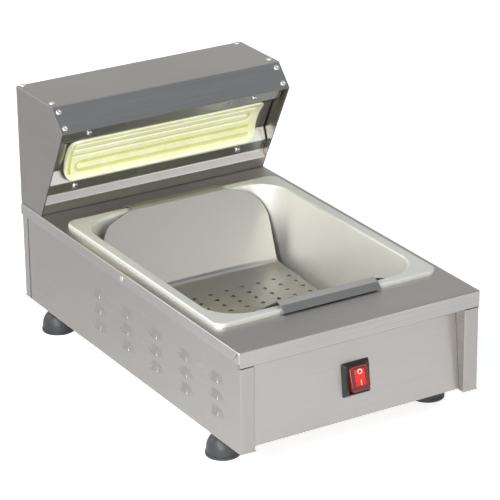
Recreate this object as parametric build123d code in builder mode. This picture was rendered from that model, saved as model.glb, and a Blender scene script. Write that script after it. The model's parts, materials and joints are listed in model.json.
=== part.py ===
from build123d import *
from math import atan2, copysign, cos, hypot, radians, sin, sqrt, tan
import os

# A countertop station that keeps fried food hot: a folded stainless casing with a gastronorm pan
# sunk in its deck, and a hood at the rear whose ceramic heater shines down on the pan.
# Millimetres. X is across, the front faces -Y, and the feet stand on Z = 0.

# Casing
body_height = 110.5
sheet = 1.2
bend = 2.0                  # outer radius of every fold
front_flange = 18.5
side_flange = 12.5
flange_return = 31.0        # how far the front flange is turned back under the deck
mitre_slit = 0.7
fold_gap = 0.2              # running gap where a folded edge passes another sheet
post_width = 17.3
post_return = 20.0
corner_gap = 0.5            # open line between side panel and rear panel
rear_strip = 12.4           # side flange of the rear panel
rear_notch = 10.0           # where the side panel ducks under the deck's flange, at the rear
rear_round = 4.5
rear_return = 12.0
vent_columns = 4
vent_rows = 7
vent_slot_length = 38.0
vent_slot_width = 5.0
vent_pitch_x = 50.0
vent_pitch_y = 30.0
panel_lip = 10.0            # flanges turned in above the base plate
panel_drop = 1.0            # clear of the inside of the deck's folds
front_recess = 17.4         # front panel behind the deck's front face, at its top
front_lean = 5.56           # degrees

# Louvres of the side panels
louvre_length = 29.0
louvre_height = 9.5
louvre_bulge = 3.0
louvre_columns = 5
louvre_rows = 3
louvre_pitch_y = 61.3
louvre_pitch_z = 18.4
louvre_first_y = 45.8
louvre_first_drop = 47.9    # open edge of the highest row, under the deck's top face

# Hood
hood_inset = 1.7            # each end inside the deck's edge
hood_height = 136.2
hood_roof = 84.4            # flat part of the top
facet_run = 22.6
facet_drop = 24.5
mouth_lean = 27.8           # degrees from upright
lower_strip = 16.0
ledge_run = 5.5
ledge_depth = 8.0
hood_flange = 18.0          # turned in along the deck
cheek_flange = 10.5
facet_seat = 14.0           # bracket's leg on the inside of the facet

# Reflector and heater
reflector_sheet = 0.8
reflector_gap = 1.5         # each side, to the cheeks
reflector_edge = 7.0        # flange beyond the lower row of screws
upper_edge = 5.0            # and beyond the upper row
reflector_lower_screw = 30.5        # up the mouth from the deck
upper_screw_inset = 13.3    # down the mouth from the facet
reflector_screw_inset = 35.6        # from the reflector's ends
trough_depth = 11.2
trough_above_screws = 6.5
trough_below_screws = 8.5
trough_low_wall = 11.0      # run of the trough's walls, up the mouth
trough_high_wall = 15.5
heater_length = 240.0
heater_shift = 2.0          # heater's middle right of the hood's middle
heater_low_gap = 3.3
heater_high_gap = 1.5
heater_face = 5.0           # crest of the heater's rims behind the mouth
heater_sag = 8.3
heater_rim_back = 7.6
heater_back_gap = 0.8
heater_corner = 11.0
heater_ridges = 6
heater_rim = 5.5
groove_share = 0.325        # of the pitch of the grooves, taken by a groove
groove_depth = 1.6
round_share = 0.095         # of that pitch, the radius on the ridges' edges
groove_stop = 4.0           # grooves' right ends, inside the rim
hairpin_inset = 7.5         # grooves' turns, inside the rim
neck_length = 41.0
neck_width = 15.0
neck_reach = 12.0           # behind the reflector
neck_gap = 0.75
clip_sheet = 0.8
clip_margin = 8.0
clip_lug = 6.0

# Pan: half-size gastronorm
pan_length = 325.0
pan_width = 265.0
pan_corner = 12.0
pan_depth = 100.0
pan_sheet = 0.8
pan_lip = 11.5
pan_mouth_corner = 40.0
pan_floor_corner = 34.0
pan_floor_fillet = 20.0
pan_taper = 6.5             # degrees
lip_rise = 4.7
lip_fold = 2.0
mouth_round = 3.0
pan_setback = 58.8          # front of the lip behind the deck's front face
pan_side_margin = 10.5      # deck beside the lip
pan_rear_margin = 86.2      # deck behind the lip
cutout_gap = 2.5

# Drainer insert, which hooks over the pan's front and rear lips. Its folds are measured on its
# lower face: over the deck, and from the pan's lip, the front ones from its front and the rear
# ones from its rear
insert_sheet = 1.0
insert_bend = 2.5
insert_inset = 17.5         # widest part, inside the pan's mouth on each side
floor_inset = 5.0           # the rest of its widths, inside the widest part
shoulder_inset = 19.5
hook_inset = 45.5
hook_overhang = 4.6
front_hook_bend = 2.4
front_peak = 10.4
floor_front = 48.2
floor_rear = 58.8
rear_peak = 15.3
rear_hook_bend = 3.5
rear_overhang = 3.9
hook_tip_rise = 0.8
front_bend_rise = 6.8
rear_bend_rise = 7.7
front_peak_rise = 9.4
rear_peak_rise = 8.1
floor_front_drop = 83.0
floor_rear_drop = 73.0
shoulder_drop = 30.0
hole_diameter = 4.5
hole_columns = 10
hole_rows = 10
hole_pitch_x = 20.0
hole_pitch_y = 14.5
holes_shift = 2.4           # behind the middle of its floor

# Rocker switch
switch_drop = 67.0
bezel_width = 33.0
bezel_height = 36.5
bezel_face_width = 28.0
bezel_face_height = 31.5
bezel_proud = 5.0
switch_body_width = 26.5
switch_body_height = 32.5
switch_body_depth = 22.0
cutout_clearance = 0.3
rocker_width = 21.0
rocker_reach = 14.2         # radius of the rocker's ends about its pivot
rocker_face = 6.5
rocker_back = 5.0
rocker_gap = 0.3
rocker_tilt = 12.0          # degrees, to either side
pivot_proud = 2.0
pivot_radius = 1.5
pivot_reach = 1.2
blade_width = 6.3
blade_thickness = 0.8
blade_length = 9.0

# Feet
foot_height = 29.5
foot_radius = 18.2
foot_band = 3.0
foot_wall = 17.4
foot_shoulder = 10.0
foot_neck = 10.5
foot_top = 12.0
foot_inset_x = 18.5         # foot centre to the deck's side edge
foot_front = 65.0           # behind the deck's front
foot_rear = 45.0            # in front of the deck's rear
foot_recess_radius = 7.0
foot_recess_depth = 7.0

# Fasteners
hole_clearance = 0.25       # round the shank, on the radius
rivet_head = 6.2
rivet_head_height = 1.3
rivet_shank = 3.2
rivet_length = 4.0
mandrel_pit = 2.2
mandrel_depth = 0.8
hood_rivet_inset = 5.8
roof_rivet_rear = 4.5
roof_rivet_front = 11.0
facet_rivet_high = 7.0
facet_rivet_low = 6.8
deck_rivet_shift = 1.0      # behind the middle of the deck's side
deck_rivet_drop = 6.8
pan_head = 6.8
pan_head_height = 2.4
cross_length = 3.8
cross_width = 1.0
cross_depth = 1.3
screw_shank = 3.5
reflector_screw_length = 7.0
hood_screw_inset = 51.3
cheek_screw_inset = 30.0
rear_screw_inset = 33.0
rear_screws = 4
side_screw_front = 110.0
side_screw_rear = 90.0
end_screw_inset = 61.8
front_screw_set = 5.0
casing_screw_length = 6.0
bolt_shank = 6.0
bolt_head = 11.0
bolt_head_height = 3.5
bolt_end = 1.5              # beyond the nut
nut_across_flats = 10.0
nut_height = 5.0
nut_gap = 0.3               # round the thread, on the radius

# Mains entry and wiring
gland_reach = 21.0
gland_inset = 46.8
gland_drop = 62.0
gland_thread = 16.0
gland_collar = 22.0
gland_collar_height = 6.0
gland_cap = 19.0
gland_bore = 8.0
gland_inner_length = 12.0
gland_nut_flats = 22.0
gland_nut_height = 4.5
block_length = 34.0
block_width = 19.0
block_height = 16.0
block_x = 60.0
block_inset = 65.0          # in front of the deck's rear
pole_pitch = 10.0
wire_bore = 3.4
stud_shank = 5.0
stud_height = 14.0
stud_x = 20.0
lead_hole = 20.0
lead_hole_inset = 23.0

# Worked out from the sizes above
deck_width = pan_width + 2 * pan_side_margin
deck_depth = pan_setback + pan_length + pan_rear_margin
front_y = -(deck_depth + gland_reach) / 2
rear_y = front_y + deck_depth
deck_z = foot_height + body_height
deck_mid_y = (front_y + rear_y) / 2
casing_half = deck_width / 2 - sheet
casing_bottom = foot_height + sheet
panel_rear = rear_y - sheet
side_rear = panel_rear - rear_strip - corner_gap
hood_half = deck_width / 2 - hood_inset
cheek_inner = hood_half - sheet
facet_length = hypot(facet_run, facet_drop)
mouth_height = hood_height - facet_drop
mouth_length = mouth_height / cos(radians(mouth_lean))
mouth_foot = deck_depth - hood_roof - facet_run + mouth_length * sin(radians(mouth_lean))
pan_front_y = front_y + pan_setback
pan_mid_y = pan_front_y + pan_length / 2
reflector_half = cheek_inner - reflector_gap
reflector_upper_screw = mouth_length - upper_screw_inset
reflector_screw_x = reflector_half - reflector_screw_inset
reflector_face = ledge_depth - reflector_sheet
trough_face = reflector_face + trough_depth
trough_low = reflector_lower_screw + trough_above_screws + trough_low_wall
trough_high = reflector_upper_screw - trough_below_screws - trough_high_wall
heater_low = trough_low - trough_low_wall + heater_low_gap
heater_high = trough_high + trough_high_wall - heater_high_gap
heater_centre = (heater_low + heater_high) / 2
heater_width = heater_high - heater_low
wiring_y = rear_y - block_inset


def spot(depth, height):
    """Side-view point: depth behind the deck's front face, height over its top face."""
    return (front_y + depth, deck_z + height)


def mouth(along, inward):
    """Side-view point on the hood's leaning mouth: along it from the deck, and inward from it."""
    lean = radians(mouth_lean)
    depth = mouth_foot - along * sin(lean) + inward * cos(lean)
    return spot(depth, along * cos(lean) + inward * sin(lean))


def facet(along, inset):
    """Side-view point on the hood's facet: along it from the roof, and inset from its face."""
    return spot(deck_depth - hood_roof - (facet_run * along - facet_drop * inset) / facet_length,
                hood_height - (facet_drop * along + facet_run * inset) / facet_length)


def mouth_plane(x, along, inward):
    """Plane parallel to the mouth, its normal pointing out of the hood and its Y up the mouth."""
    y, z = mouth(along, inward)
    lean = radians(mouth_lean)
    return Plane(origin=(x, y, z), x_dir=(1, 0, 0), z_dir=(0, -cos(lean), -sin(lean)))


def bent_sheet(plane, points, thickness=sheet, side=Side.LEFT, radius=bend):
    """Section of a sheet folded along the points, its thickness to one side of them."""
    with BuildSketch(plane) as section:
        with BuildLine():
            FilletPolyline(*points, radius=radius)
            offset(amount=thickness, side=side)
        make_face()
    return section.sketch


def round_head(head, head_height, shank, length):
    """Round-headed fastener: its head stands on the local XY plane and its shank hangs below."""
    with BuildPart() as piece:
        Cylinder(head / 2, head_height, align=(Align.CENTER, Align.CENTER, Align.MIN))
        fillet(piece.faces().sort_by(Axis.Z)[-1].edges(), radius=0.9 * head_height)
        Cylinder(shank / 2, length, align=(Align.CENTER, Align.CENTER, Align.MAX))
    return piece.part


def blind_rivet():
    """Blind rivet, with the pit that its mandrel leaves."""
    with BuildPart() as piece:
        add(round_head(rivet_head, rivet_head_height, rivet_shank, rivet_length))
        with Locations((0, 0, rivet_head_height)):
            Cylinder(mandrel_pit / 2, 2 * mandrel_depth, mode=Mode.SUBTRACT)
    return piece.part


def cross_screw(length):
    """Pan-head screw with a cross recess."""
    with BuildPart() as piece:
        add(round_head(pan_head, pan_head_height, screw_shank, length))
        with Locations((0, 0, pan_head_height)):
            Box(cross_length, cross_width, 2 * cross_depth, mode=Mode.SUBTRACT)
            Box(cross_width, cross_length, 2 * cross_depth, mode=Mode.SUBTRACT)
    return piece.part


def hex_nut(flats, height, bore):
    """Hexagonal nut standing on the local XY plane."""
    with BuildPart() as piece:
        with BuildSketch():
            RegularPolygon(radius=flats / 2, side_count=6, major_radius=False)
            Circle(bore / 2, mode=Mode.SUBTRACT)
        extrude(amount=height)
    return piece.part


def finish(builder, name):
    """Label a finished piece and write it."""
    builder.part.label = name
    export_step(builder.part, f"parts/{name}.step")


os.makedirs("parts", exist_ok=True)

# Places of the fasteners
deck_rivet_seats = [
    Plane(origin=(side * deck_width / 2, deck_mid_y + deck_rivet_shift, deck_z - deck_rivet_drop),
          z_dir=(side, 0, 0))
    for side in (-1, 1)
]
roof_rivet_depths = [deck_depth - roof_rivet_rear, deck_depth - hood_roof + roof_rivet_front]
facet_rivet_places = [facet_rivet_high, facet_length - facet_rivet_low]
facet_normal = (0, -facet_drop / facet_length, facet_run / facet_length)
hood_rivet_x = hood_half - hood_rivet_inset
hood_rivet_seats = []
for side in (-1, 1):
    for depth in roof_rivet_depths:
        y, z = spot(depth, hood_height)
        hood_rivet_seats.append(Plane(origin=(side * hood_rivet_x, y, z)))
    for place in facet_rivet_places:
        y, z = facet(place, 0)
        hood_rivet_seats.append(Plane(origin=(side * hood_rivet_x, y, z), z_dir=facet_normal))

reflector_seats = [
    mouth_plane(side * reflector_screw_x, along, reflector_face)
    for side in (-1, 1)
    for along in (reflector_lower_screw, reflector_upper_screw)
]
hood_screw_x = hood_half - hood_screw_inset
cheek_screw_x = cheek_inner - cheek_flange / 2
hood_screw_seats = [
    Plane(origin=(side * x, front_y + depth, deck_z - sheet), z_dir=(0, 0, -1))
    for side in (-1, 1)
    for x, depth in ((hood_screw_x, mouth_foot + hood_flange / 2),
                     (hood_screw_x, deck_depth - hood_flange / 2),
                     (cheek_screw_x, deck_depth - cheek_screw_inset))
]
rear_screw_x = deck_width / 2 - rear_screw_inset
rear_screw_seats = [
    Plane(origin=(rear_screw_x * (2 * place / (rear_screws - 1) - 1), rear_y, deck_z - side_flange / 2),
          z_dir=(0, 1, 0))
    for place in range(rear_screws)
]
side_screw_x = casing_half - sheet - panel_lip / 2
end_screw_x = casing_half - end_screw_inset
side_screw_first = front_y + side_screw_front
side_screw_last = rear_y - side_screw_rear
base_screw_spots = [
    (side * x, y)
    for side in (-1, 1)
    for x, y in ((side_screw_x, side_screw_first),
                 (side_screw_x, (side_screw_first + side_screw_last) / 2),
                 (side_screw_x, side_screw_last),
                 (end_screw_x, panel_rear - sheet - panel_lip / 2),
                 (end_screw_x, front_y + front_recess + front_screw_set))
]
base_screw_seats = [Plane(origin=(x, y, foot_height), z_dir=(0, 0, -1)) for x, y in base_screw_spots]
foot_x = deck_width / 2 - foot_inset_x
foot_spots = {
    "front_left_foot": (-foot_x, front_y + foot_front),
    "front_right_foot": (foot_x, front_y + foot_front),
    "rear_left_foot": (-foot_x, rear_y - foot_rear),
    "rear_right_foot": (foot_x, rear_y - foot_rear),
}
screw_hole = screw_shank / 2 + hole_clearance
rivet_hole = rivet_shank / 2 + hole_clearance
bolt_hole = bolt_shank / 2 + hole_clearance

# Deck: a shallow pan of sheet turned upside down, with a deeper folded flange in front
with BuildPart() as deck_top:
    with BuildSketch(Plane.XY.offset(deck_z)):
        with Locations((0, deck_mid_y)):
            Rectangle(deck_width, deck_depth)
    extrude(amount=-side_flange)
    fillet(deck_top.edges().filter_by(Axis.Z), radius=bend)
    fillet(deck_top.faces().sort_by(Axis.Z)[-1].edges(), radius=bend - 0.1)
    offset(amount=-sheet, openings=deck_top.faces().sort_by(Axis.Z)[0])
    extrude(bent_sheet(Plane.YZ, [spot(0, -side_flange / 2), spot(0, -front_flange),
                                  spot(flange_return, -front_flange)]),
            amount=casing_half, both=True)
    # the turned-back part stops short of the side panels
    with BuildSketch(Plane.XY.offset(deck_z - side_flange)):
        for side in (-1, 1):
            with Locations((side * casing_half, front_y + sheet + fold_gap / 2 + flange_return / 2)):
                Rectangle(2 * (sheet + fold_gap), flange_return)
    extrude(amount=-front_flange, mode=Mode.SUBTRACT)
    with BuildSketch(Plane.XY.offset(deck_z)):
        with Locations((0, pan_mid_y)):
            RectangleRounded(pan_width - 2 * pan_lip + 2 * (pan_sheet + cutout_gap),
                             pan_length - 2 * pan_lip + 2 * (pan_sheet + cutout_gap),
                             pan_mouth_corner + pan_sheet + cutout_gap)
        with Locations((0, rear_y - lead_hole_inset)):
            Circle(lead_hole / 2)
    extrude(amount=-2 * sheet, mode=Mode.SUBTRACT)
    # mitred corners, open from just under the bend to the flange's edge
    for side in (-1, 1):
        with BuildSketch(Plane.YZ.offset(side * deck_width / 2)):
            with Locations(spot(side_flange / 2 + bend / 2, -side_flange / 2 - bend / 2)):
                Rectangle(side_flange * sqrt(2) - bend, mitre_slit, rotation=-45)
        extrude(amount=2 * sheet, both=True, mode=Mode.SUBTRACT)
    with Locations(*hood_screw_seats, *rear_screw_seats):
        Cylinder(screw_hole, 4 * sheet, mode=Mode.SUBTRACT)
    with Locations(*deck_rivet_seats):
        Cylinder(rivet_hole, 4 * sheet, mode=Mode.SUBTRACT)
finish(deck_top, "deck_top")


def louvre_form():
    """One louvre on its local XZ plane: X along it, Y outward, its open edge at Z = 0."""
    flat = louvre_length - 2 * louvre_height
    profile = [(0, 0), (louvre_bulge, 0), (0, louvre_height)]
    with BuildPart() as form:
        with BuildSketch(Plane.YZ):
            Polygon(*profile, align=None)
        extrude(amount=flat / 2, both=True)
        for side in (-1, 1):
            end = (side * flat / 2, 0, 0)
            with BuildSketch(Plane(origin=end, x_dir=(0, 1, 0), z_dir=(1, 0, 0))):
                Polygon(*profile, align=None)
            revolve(axis=Axis(end, (0, 1, 0)), revolution_arc=side * 90)
    return form.part


louvre_planes = [
    Plane(origin=(-casing_half, front_y + louvre_first_y + column * louvre_pitch_y,
                  deck_z - louvre_first_drop - row * louvre_pitch_z),
          x_dir=(0, 1, 0), z_dir=(0, 0, 1))
    for column in range(louvre_columns)
    for row in range(louvre_rows)
]
hollow_planes = [
    Plane(origin=plane.origin + Vector(sheet, 0, 0), x_dir=plane.x_dir, z_dir=plane.z_dir)
    for plane in louvre_planes
]
side_panel_top = deck_z - sheet - panel_drop
shoulder_z = deck_z - side_flange

# Left side: post, wall and rear return are one fold; a lip is turned in above the base plate
with BuildPart() as left_side_panel:
    extrude(bent_sheet(Plane.XY.offset(casing_bottom),
                       [(-casing_half + post_width, front_y + post_return),
                        (-casing_half + post_width, front_y), (-casing_half, front_y),
                        (-casing_half, side_rear), (-casing_half + rear_return, side_rear)],
                       side=Side.RIGHT),
            amount=side_panel_top - casing_bottom)
    with BuildSketch(Plane.XY.offset(casing_bottom)):
        with Locations((-casing_half + sheet / 2, front_y + post_return + 2 * bend)):
            Rectangle(panel_lip + sheet / 2, side_rear - front_y - 2 * post_return - 4 * bend,
                      align=(Align.MIN, Align.MIN))
    extrude(amount=sheet)
    # clear of the deck's front flange and of what is turned back from it
    with BuildSketch(Plane.XY.offset(deck_z - front_flange)):
        with Locations((-casing_half + sheet, front_y)):
            Rectangle(post_width, flange_return, align=(Align.MIN, Align.MIN))
        with Locations((-casing_half, front_y)):
            Rectangle(post_width, bend + fold_gap, align=(Align.MIN, Align.MIN))
    extrude(amount=front_flange, mode=Mode.SUBTRACT)
    with BuildSketch(Plane.YZ.offset(-casing_half)):
        with BuildLine():
            notch = Polyline((side_rear + 1, shoulder_z - rear_round), (side_rear + 1, deck_z),
                             (side_rear - rear_notch, deck_z), (side_rear - rear_notch, shoulder_z),
                             (side_rear - rear_round, shoulder_z))
            RadiusArc(notch @ 1, (side_rear, shoulder_z - rear_round), rear_round)
            Line((side_rear, shoulder_z - rear_round), notch @ 0)
        make_face()
    extrude(amount=2 * rear_return, both=True, mode=Mode.SUBTRACT)
    with Locations(*louvre_planes):
        add(louvre_form())
    with Locations(*hollow_planes):
        add(louvre_form(), mode=Mode.SUBTRACT)
    with Locations(*deck_rivet_seats):
        Cylinder(rivet_hole, 6 * sheet, mode=Mode.SUBTRACT)
    with Locations(*base_screw_seats):
        Cylinder(screw_hole, 6 * sheet, mode=Mode.SUBTRACT)
finish(left_side_panel, "left_side_panel")

with BuildPart() as right_side_panel:
    mirror(left_side_panel.part, about=Plane.YZ)
finish(right_side_panel, "right_side_panel")

# Front panel, leaning back between the posts
front_lean_run = tan(radians(front_lean))
front_half = casing_half - post_width - fold_gap
panel_foot_depth = front_recess - front_lean_run * (body_height - sheet - front_flange)
switch_centre = spot(front_recess - front_lean_run * (switch_drop - front_flange), -switch_drop)
switch_plane = Plane(origin=(0, *switch_centre), x_dir=(1, 0, 0),
                     z_dir=(0, -cos(radians(front_lean)), sin(radians(front_lean))))
with BuildPart() as front_panel:
    extrude(bent_sheet(Plane.YZ, [spot(front_recess + panel_lip, -front_flange),
                                  spot(front_recess, -front_flange),
                                  spot(panel_foot_depth, -body_height + sheet),
                                  spot(front_recess + panel_lip, -body_height + sheet)]),
            amount=front_half, both=True)
    with BuildSketch(switch_plane):
        Rectangle(switch_body_width + 2 * cutout_clearance, switch_body_height + 2 * cutout_clearance)
    extrude(amount=4 * sheet, both=True, mode=Mode.SUBTRACT)
    with Locations(*base_screw_seats):
        Cylinder(screw_hole, 6 * sheet, mode=Mode.SUBTRACT)
finish(front_panel, "front_panel")

# Rear panel: its side flanges show as a strip down each rear corner
gland_plane = Plane(origin=(casing_half - gland_inset, panel_rear, deck_z - gland_drop),
                    x_dir=(-1, 0, 0), z_dir=(0, 1, 0))
with BuildPart() as rear_panel:
    strip_front = side_rear + corner_gap
    extrude(bent_sheet(Plane.XY.offset(casing_bottom),
                       [(-casing_half, strip_front), (-casing_half, panel_rear),
                        (casing_half, panel_rear), (casing_half, strip_front)], side=Side.RIGHT),
            amount=side_panel_top - casing_bottom)
    # ears that follow the side panels' rounded shoulders
    with BuildSketch(Plane.YZ.offset(-casing_half)):
        with BuildLine():
            ear = Polyline((strip_front + 1, shoulder_z - rear_round), (strip_front + 1, side_panel_top),
                           (strip_front - rear_notch, side_panel_top),
                           (strip_front - rear_notch, shoulder_z + corner_gap),
                           (side_rear - rear_round, shoulder_z + corner_gap))
            RadiusArc(ear @ 1, (strip_front, shoulder_z - rear_round), rear_round + corner_gap)
            Line((strip_front, shoulder_z - rear_round), ear @ 0)
        make_face()
    extrude(amount=sheet)
    with BuildSketch(Plane.YZ.offset(casing_half)):
        with BuildLine():
            add(ear.wire())
            RadiusArc(ear @ 1, (strip_front, shoulder_z - rear_round), rear_round + corner_gap)
            Line((strip_front, shoulder_z - rear_round), ear @ 0)
        make_face()
    extrude(amount=-sheet)
    with BuildSketch(Plane.XY.offset(casing_bottom)):
        with Locations((0, panel_rear - sheet / 2)):
            Rectangle(2 * (casing_half - rear_return - 2 * bend), panel_lip + sheet / 2,
                      align=(Align.CENTER, Align.MAX))
    extrude(amount=sheet)
    with Locations(gland_plane):
        Cylinder(gland_thread / 2 + hole_clearance, 4 * sheet, mode=Mode.SUBTRACT)
    with Locations(*rear_screw_seats, *base_screw_seats):
        Cylinder(screw_hole, 6 * sheet, mode=Mode.SUBTRACT)
finish(rear_panel, "rear_panel")

# Base plate, with a tab under each post and slots for cooling air. Its front edge is hidden
# under the fold at the foot of the front panel
plate_front = front_y + panel_foot_depth + bend
with BuildPart() as base_plate:
    with BuildSketch(Plane.XY.offset(foot_height)):
        with Locations((0, plate_front)):
            Rectangle(2 * casing_half, panel_rear - plate_front, align=(Align.CENTER, Align.MIN))
        for side in (-1, 1):
            with Locations((side * (casing_half - post_width / 2), front_y)):
                Rectangle(post_width, post_return, align=(Align.CENTER, Align.MIN))
        with Locations((0, deck_mid_y)):
            with GridLocations(vent_pitch_x, vent_pitch_y, vent_columns, vent_rows):
                SlotOverall(vent_slot_length, vent_slot_width, mode=Mode.SUBTRACT)
        with Locations(*foot_spots.values()):
            Circle(bolt_hole, mode=Mode.SUBTRACT)
        with Locations(*base_screw_spots):
            Circle(screw_hole, mode=Mode.SUBTRACT)
        with Locations((stud_x, wiring_y)):
            Circle(stud_shank / 2 + hole_clearance, mode=Mode.SUBTRACT)
    extrude(amount=sheet)
finish(base_plate, "base_plate")

# Hood cover: back, roof and facet are one sheet, turned in along the deck
with BuildPart() as hood_cover:
    extrude(bent_sheet(Plane.YZ, [spot(deck_depth - hood_flange, 0), spot(deck_depth, 0),
                                  spot(deck_depth, hood_height), facet(0, 0), facet(facet_length, 0)]),
            amount=hood_half, both=True)
    for side in (-1, 1):
        with BuildSketch(Plane.XY.offset(deck_z)):
            with Locations((side * hood_half, rear_y - sheet)):
                Rectangle(2 * (sheet + cheek_flange + fold_gap), hood_flange,
                          align=(Align.CENTER, Align.MAX))
        extrude(amount=2 * sheet, mode=Mode.SUBTRACT)
    with Locations(*hood_rivet_seats):
        Cylinder(rivet_hole, 6 * sheet, mode=Mode.SUBTRACT)
    with Locations(*hood_screw_seats):
        Cylinder(screw_hole, 8 * sheet, mode=Mode.SUBTRACT)
finish(hood_cover, "hood_cover")

# Cheeks: end plates whose flanges lie under the cover and along the deck
facet_angle = radians(90 - mouth_lean) + atan2(facet_drop, facet_run)
roof_inset = sheet * (facet_length - facet_run) / facet_drop
with BuildPart() as hood_left_cheek:
    with BuildSketch(Plane.YZ.offset(-hood_half)) as cheek_outline:
        Polygon(mouth(0, 0), spot(deck_depth - sheet, 0), spot(deck_depth - sheet, hood_height - sheet),
                facet(roof_inset, sheet), facet(facet_length - sheet / tan(facet_angle), sheet),
                align=None)
        corners = cheek_outline.vertices()
        fillet(corners.sort_by(Axis.X)[-2:] + corners.sort_by(Axis.Y)[-2:].sort_by(Axis.X)[:1], radius=bend)
    extrude(amount=sheet)
    extrude(bent_sheet(Plane.YZ.offset(-cheek_inner),
                       [spot(mouth_foot + 1.3 * hood_flange, 0), spot(deck_depth - sheet, 0),
                        spot(deck_depth - sheet, hood_height - sheet), facet(roof_inset, sheet),
                        facet(facet_length - ledge_depth, sheet)]),
            amount=cheek_flange)
    with Locations(*hood_rivet_seats):
        Cylinder(rivet_hole, 6 * sheet, mode=Mode.SUBTRACT)
    with Locations(*hood_screw_seats):
        Cylinder(screw_hole, 8 * sheet, mode=Mode.SUBTRACT)
finish(hood_left_cheek, "hood_left_cheek")

with BuildPart() as hood_right_cheek:
    mirror(hood_left_cheek.part, about=Plane.YZ)
finish(hood_right_cheek, "hood_right_cheek")

# Strip, ledge and screw flange below the heater
with BuildPart() as hood_lower_front:
    extrude(bent_sheet(Plane.YZ, [spot(mouth_foot + hood_flange, 0), spot(mouth_foot, 0),
                                  mouth(lower_strip, 0), mouth(lower_strip + ledge_run, ledge_depth),
                                  mouth(reflector_lower_screw + reflector_edge - bend - 1, ledge_depth)],
                       side=Side.RIGHT),
            amount=cheek_inner - fold_gap, both=True)
    with Locations(*reflector_seats, *hood_screw_seats):
        Cylinder(screw_hole, 8 * sheet, mode=Mode.SUBTRACT)
finish(hood_lower_front, "hood_lower_front")

# Bracket inside the facet that carries the reflector's upper edge
bracket_bend = facet_length - (ledge_depth + sheet * cos(facet_angle)) / sin(facet_angle)
with BuildPart() as reflector_bracket:
    extrude(bent_sheet(Plane.YZ, [facet(bracket_bend - facet_seat, sheet), facet(bracket_bend, sheet),
                                  mouth(reflector_upper_screw - reflector_edge, ledge_depth)]),
            amount=cheek_inner - cheek_flange - 2 * fold_gap, both=True)
    with BuildSketch(Plane.YZ):
        low, high = reflector_upper_screw - reflector_edge, mouth_length - 2 * bend
        Polygon(mouth(low, ledge_depth), mouth(high, ledge_depth), mouth(high, ledge_depth + sheet),
                mouth(low, ledge_depth + sheet), align=None)
    extrude(amount=reflector_half, both=True)
    with Locations(*reflector_seats):
        Cylinder(screw_hole, 8 * sheet, mode=Mode.SUBTRACT)
finish(reflector_bracket, "reflector_bracket")

# Reflector: a polished trough with a screw flange along each edge
with BuildPart() as reflector:
    extrude(bent_sheet(Plane.YZ, [mouth(reflector_upper_screw + upper_edge, reflector_face),
                                  mouth(trough_high + trough_high_wall, reflector_face),
                                  mouth(trough_high, trough_face), mouth(trough_low, trough_face),
                                  mouth(trough_low - trough_low_wall, reflector_face),
                                  mouth(reflector_lower_screw - reflector_edge, reflector_face)],
                       thickness=reflector_sheet),
            amount=reflector_half, both=True)
    with BuildSketch(mouth_plane(heater_shift, heater_centre, trough_face)):
        RectangleRounded(neck_length + 2 * neck_gap, neck_width + 2 * neck_gap, 2)
    extrude(amount=2 * sheet, both=True, mode=Mode.SUBTRACT)
    with Locations(*reflector_seats):
        Cylinder(screw_hole, 8 * sheet, mode=Mode.SUBTRACT)
finish(reflector, "reflector")


def heater_arc(inward):
    """Three points on an arc across the heater's dished face, moved inward."""
    return (mouth(heater_low, heater_face + inward),
            mouth(heater_centre, heater_face + heater_sag + inward),
            mouth(heater_high, heater_face + inward))


def hairpin(start, turn, rows):
    """Groove along one row of the heater's face, round a turn and back along the next row."""
    curve = copysign(ridge_pitch / 2, turn - start)
    with BuildSketch() as groove:
        with BuildLine():
            out = Line((start, rows[0]), (turn - curve, rows[0]))
            back = ThreePointArc(out @ 1, (turn, sum(rows) / 2), (turn - curve, rows[1]))
            Line(back @ 1, (start, rows[1]))
        trace(line_width=groove_width)
    return groove.sketch


# Heater: a dished ceramic slab, grooved between the runs of its buried coil, with a neck that goes
# back through the reflector
ridge_pitch = heater_width / heater_ridges
groove_rows = [(row - heater_ridges / 2) * ridge_pitch for row in range(1, heater_ridges)]
groove_end = heater_length / 2 - heater_rim
groove_width = groove_share * ridge_pitch
with BuildSketch() as heater_grooves:
    add(hairpin(groove_end - groove_stop, hairpin_inset - groove_end, groove_rows[:2]))
    add(hairpin(-groove_end, groove_end - hairpin_inset, groove_rows[2:4]))
    with Locations((-groove_stop / 2, groove_rows[4])):
        Rectangle(2 * groove_end - groove_stop, groove_width)
    with Locations((-groove_end, 0)):
        Rectangle(groove_width, groove_rows[4] - groove_rows[0] + groove_width)
with BuildPart() as groove_cutter:
    with BuildSketch(Plane.YZ.offset(heater_shift)):
        with BuildLine():
            groove_floor = ThreePointArc(*heater_arc(groove_depth))
            Polyline(groove_floor @ 1, mouth(heater_high, 0), mouth(heater_low, 0), groove_floor @ 0)
        make_face()
    extrude(amount=heater_length / 2, both=True)
    with BuildSketch(mouth_plane(heater_shift, heater_centre, 0)):
        add(heater_grooves.sketch)
    extrude(amount=-trough_face, mode=Mode.INTERSECT)
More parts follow.
